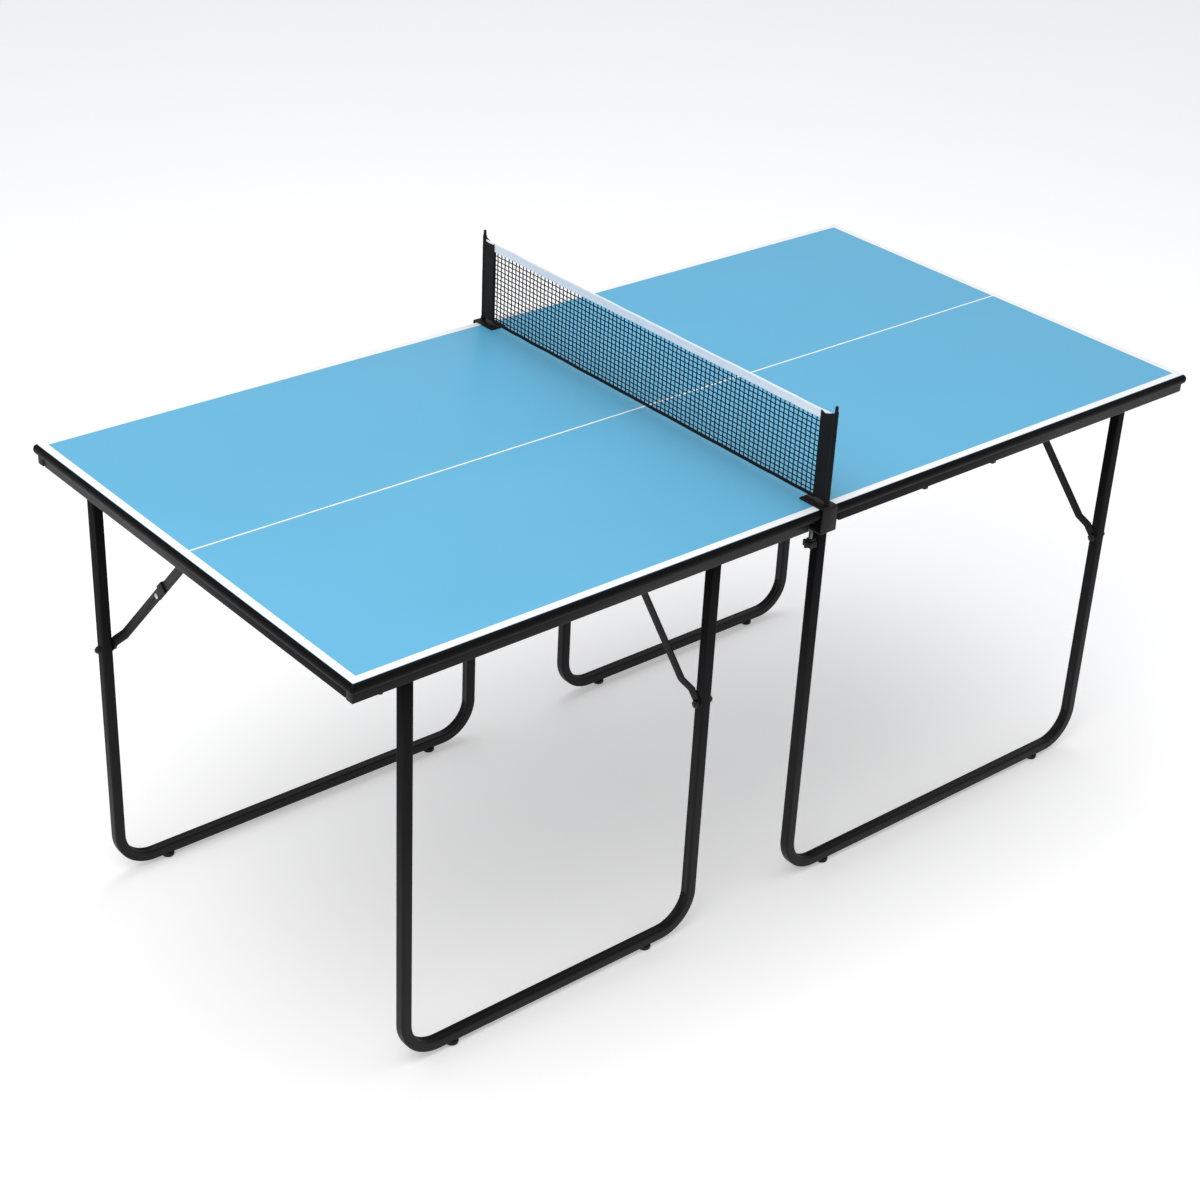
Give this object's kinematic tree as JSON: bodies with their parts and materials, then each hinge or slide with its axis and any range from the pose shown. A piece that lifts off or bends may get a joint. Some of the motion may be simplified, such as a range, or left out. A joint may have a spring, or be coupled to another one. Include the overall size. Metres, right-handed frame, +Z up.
{
  "type": "folding ping pong table",
  "caption": "Midsize folding ping pong table: blue boards with white lines on black U-legs with folding braces, and a clamp-on net.",
  "frame": {"origin": "on the floor, under the middle of the net", "axes": "+X along the table's length towards the right half, +Y across it to the far side, +Z up"},
  "size_m": [1.68, 0.846, 0.9225],
  "materials": {
    "playing_board": "sky blue satin paint on fibreboard, with white lines",
    "edge_moulding": "black extruded plastic, satin",
    "frame_steel": "black powder coat, satin",
    "hinge_pin": "zinc plated",
    "foot": "black moulded plastic",
    "clamp_knob": "black moulded plastic",
    "clamp_pad": "black rubber",
    "net_post": "black powder coat, satin",
    "net": "black netting with a white top tape"
  },
  "bodies": {
    "left_half_with_net": {"left_board": "playing_board", "left_edge_moulding": "edge_moulding", "left_end_rail": "frame_steel", "left_wide_leg_side_rail": "frame_steel", "left_narrow_leg_side_rail": "frame_steel", "left_wide_outer_bracket": "frame_steel", "left_wide_outer_pin": "hinge_pin", "left_wide_seam_bracket": "frame_steel", "left_wide_seam_pin": "hinge_pin", "left_wide_brace_anchor": "frame_steel", "left_narrow_outer_bracket": "frame_steel", "left_narrow_outer_pin": "hinge_pin", "left_narrow_seam_bracket": "frame_steel", "left_narrow_seam_pin": "hinge_pin", "left_narrow_brace_anchor": "frame_steel", "near_net_clamp": "frame_steel", "near_net_post": "net_post", "far_net_clamp": "frame_steel", "far_net_post": "net_post", "net": "net"},
    "right_half": {"right_board": "playing_board", "right_edge_moulding": "edge_moulding", "right_end_rail": "frame_steel", "right_wide_leg_side_rail": "frame_steel", "right_narrow_leg_side_rail": "frame_steel", "right_wide_outer_bracket": "frame_steel", "right_wide_outer_pin": "hinge_pin", "right_wide_seam_bracket": "frame_steel", "right_wide_seam_pin": "hinge_pin", "right_wide_brace_anchor": "frame_steel", "right_narrow_outer_bracket": "frame_steel", "right_narrow_outer_pin": "hinge_pin", "right_narrow_seam_bracket": "frame_steel", "right_narrow_seam_pin": "hinge_pin", "right_narrow_brace_anchor": "frame_steel"},
    "left_wide_leg": {"left_wide_leg": "frame_steel", "left_wide_outer_foot": "foot", "left_wide_seam_foot": "foot"},
    "left_wide_brace_lower_bar": {"left_wide_brace_lower_bar": "frame_steel"},
    "left_wide_brace_upper_bar": {"left_wide_brace_upper_bar": "frame_steel"},
    "left_narrow_leg": {"left_narrow_leg": "frame_steel", "left_narrow_outer_foot": "foot", "left_narrow_seam_foot": "foot"},
    "left_narrow_brace_lower_bar": {"left_narrow_brace_lower_bar": "frame_steel"},
    "left_narrow_brace_upper_bar": {"left_narrow_brace_upper_bar": "frame_steel"},
    "right_wide_leg": {"right_wide_leg": "frame_steel", "right_wide_outer_foot": "foot", "right_wide_seam_foot": "foot"},
    "right_wide_brace_lower_bar": {"right_wide_brace_lower_bar": "frame_steel"},
    "right_wide_brace_upper_bar": {"right_wide_brace_upper_bar": "frame_steel"},
    "right_narrow_leg": {"right_narrow_leg": "frame_steel", "right_narrow_outer_foot": "foot", "right_narrow_seam_foot": "foot"},
    "right_narrow_brace_lower_bar": {"right_narrow_brace_lower_bar": "frame_steel"},
    "right_narrow_brace_upper_bar": {"right_narrow_brace_upper_bar": "frame_steel"},
    "near_clamp_pad": {"near_clamp_pad": "clamp_pad"},
    "near_clamp_screw": {"near_clamp_screw": "clamp_knob"},
    "far_clamp_pad": {"far_clamp_pad": "clamp_pad"},
    "far_clamp_screw": {"far_clamp_screw": "clamp_knob"}
  },
  "joints": [
    {"name": "left_wide_leg_fold", "type": "hinge", "parent": "left_half_with_net", "child": "left_wide_leg", "pos_m": [-0.436, 0.329, 0.712], "axis": [-1, 0, 0], "range_deg": [0, 62]},
    {"name": "left_wide_upper_bar_turn", "type": "hinge", "parent": "left_half_with_net", "child": "left_wide_brace_upper_bar", "pos_m": [-0.79, 0.074, 0.712], "axis": [1, 0, 0], "range_deg": [0, 41.44]},
    {"name": "left_wide_lower_bar_turn", "type": "hinge", "parent": "left_wide_leg", "child": "left_wide_brace_lower_bar", "pos_m": [-0.79, 0.329, 0.431], "axis": [-1, 0, 0], "range_deg": [0, 36.59]},
    {"name": "left_narrow_leg_fold", "type": "hinge", "parent": "left_half_with_net", "child": "left_narrow_leg", "pos_m": [-0.415, -0.329, 0.712], "axis": [1, 0, 0], "range_deg": [0, 90]},
    {"name": "left_narrow_upper_bar_turn", "type": "hinge", "parent": "left_half_with_net", "child": "left_narrow_brace_upper_bar", "pos_m": [-0.137, -0.074, 0.712], "axis": [-1, 0, 0], "range_deg": [0, 47.8]},
    {"name": "left_narrow_lower_bar_turn", "type": "hinge", "parent": "left_narrow_leg", "child": "left_narrow_brace_lower_bar", "pos_m": [-0.137, -0.329, 0.431], "axis": [1, 0, 0], "range_deg": [0, 42.24]},
    {"name": "right_wide_leg_fold", "type": "hinge", "parent": "right_half", "child": "right_wide_leg", "pos_m": [0.436, -0.329, 0.712], "axis": [1, 0, 0], "range_deg": [0, 62]},
    {"name": "right_wide_upper_bar_turn", "type": "hinge", "parent": "right_half", "child": "right_wide_brace_upper_bar", "pos_m": [0.79, -0.074, 0.712], "axis": [-1, 0, 0], "range_deg": [0, 41.44]},
    {"name": "right_wide_lower_bar_turn", "type": "hinge", "parent": "right_wide_leg", "child": "right_wide_brace_lower_bar", "pos_m": [0.79, -0.329, 0.431], "axis": [1, 0, 0], "range_deg": [0, 36.59]},
    {"name": "right_narrow_leg_fold", "type": "hinge", "parent": "right_half", "child": "right_narrow_leg", "pos_m": [0.415, 0.329, 0.712], "axis": [-1, 0, 0], "range_deg": [0, 90]},
    {"name": "right_narrow_upper_bar_turn", "type": "hinge", "parent": "right_half", "child": "right_narrow_brace_upper_bar", "pos_m": [0.137, 0.074, 0.712], "axis": [1, 0, 0], "range_deg": [0, 47.8]},
    {"name": "right_narrow_lower_bar_turn", "type": "hinge", "parent": "right_narrow_leg", "child": "right_narrow_brace_lower_bar", "pos_m": [0.137, 0.329, 0.431], "axis": [-1, 0, 0], "range_deg": [0, 42.24]},
    {"name": "half_part", "type": "slide", "parent": "left_half_with_net", "child": "right_half", "axis": [1, 0, 0], "range_m": [0, 0.25]},
    {"name": "near_pad_drop", "type": "slide", "parent": "left_half_with_net", "child": "near_clamp_pad", "axis": [0, 0, -1], "range_m": [0, 0.0121]},
    {"name": "near_screw_turn", "type": "hinge", "parent": "near_clamp_pad", "child": "near_clamp_screw", "pos_m": [0, -0.388, 0.69], "axis": [0, 0, 1], "range_deg": [0, 2880]},
    {"name": "far_pad_drop", "type": "slide", "parent": "left_half_with_net", "child": "far_clamp_pad", "axis": [0, 0, -1], "range_m": [0, 0.0121]},
    {"name": "far_screw_turn", "type": "hinge", "parent": "far_clamp_pad", "child": "far_clamp_screw", "pos_m": [0, 0.388, 0.69], "axis": [0, 0, 1], "range_deg": [0, 2880]}
  ],
  "couplings": [
    {"joint": "left_wide_upper_bar_turn", "follows": "left_wide_leg_fold", "ratio": 0.66804},
    {"joint": "left_wide_lower_bar_turn", "follows": "left_wide_leg_fold", "ratio": 0.58981},
    {"joint": "left_narrow_upper_bar_turn", "follows": "left_narrow_leg_fold", "ratio": 0.53086},
    {"joint": "left_narrow_lower_bar_turn", "follows": "left_narrow_leg_fold", "ratio": 0.46914},
    {"joint": "right_wide_upper_bar_turn", "follows": "right_wide_leg_fold", "ratio": 0.66804},
    {"joint": "right_wide_lower_bar_turn", "follows": "right_wide_leg_fold", "ratio": 0.58981},
    {"joint": "right_narrow_upper_bar_turn", "follows": "right_narrow_leg_fold", "ratio": 0.53086},
    {"joint": "right_narrow_lower_bar_turn", "follows": "right_narrow_leg_fold", "ratio": 0.46914},
    {"joint": "near_pad_drop", "follows": "near_screw_turn", "m_per_rad": 0.0002387},
    {"joint": "far_pad_drop", "follows": "far_screw_turn", "m_per_rad": 0.0002387}
  ]
}
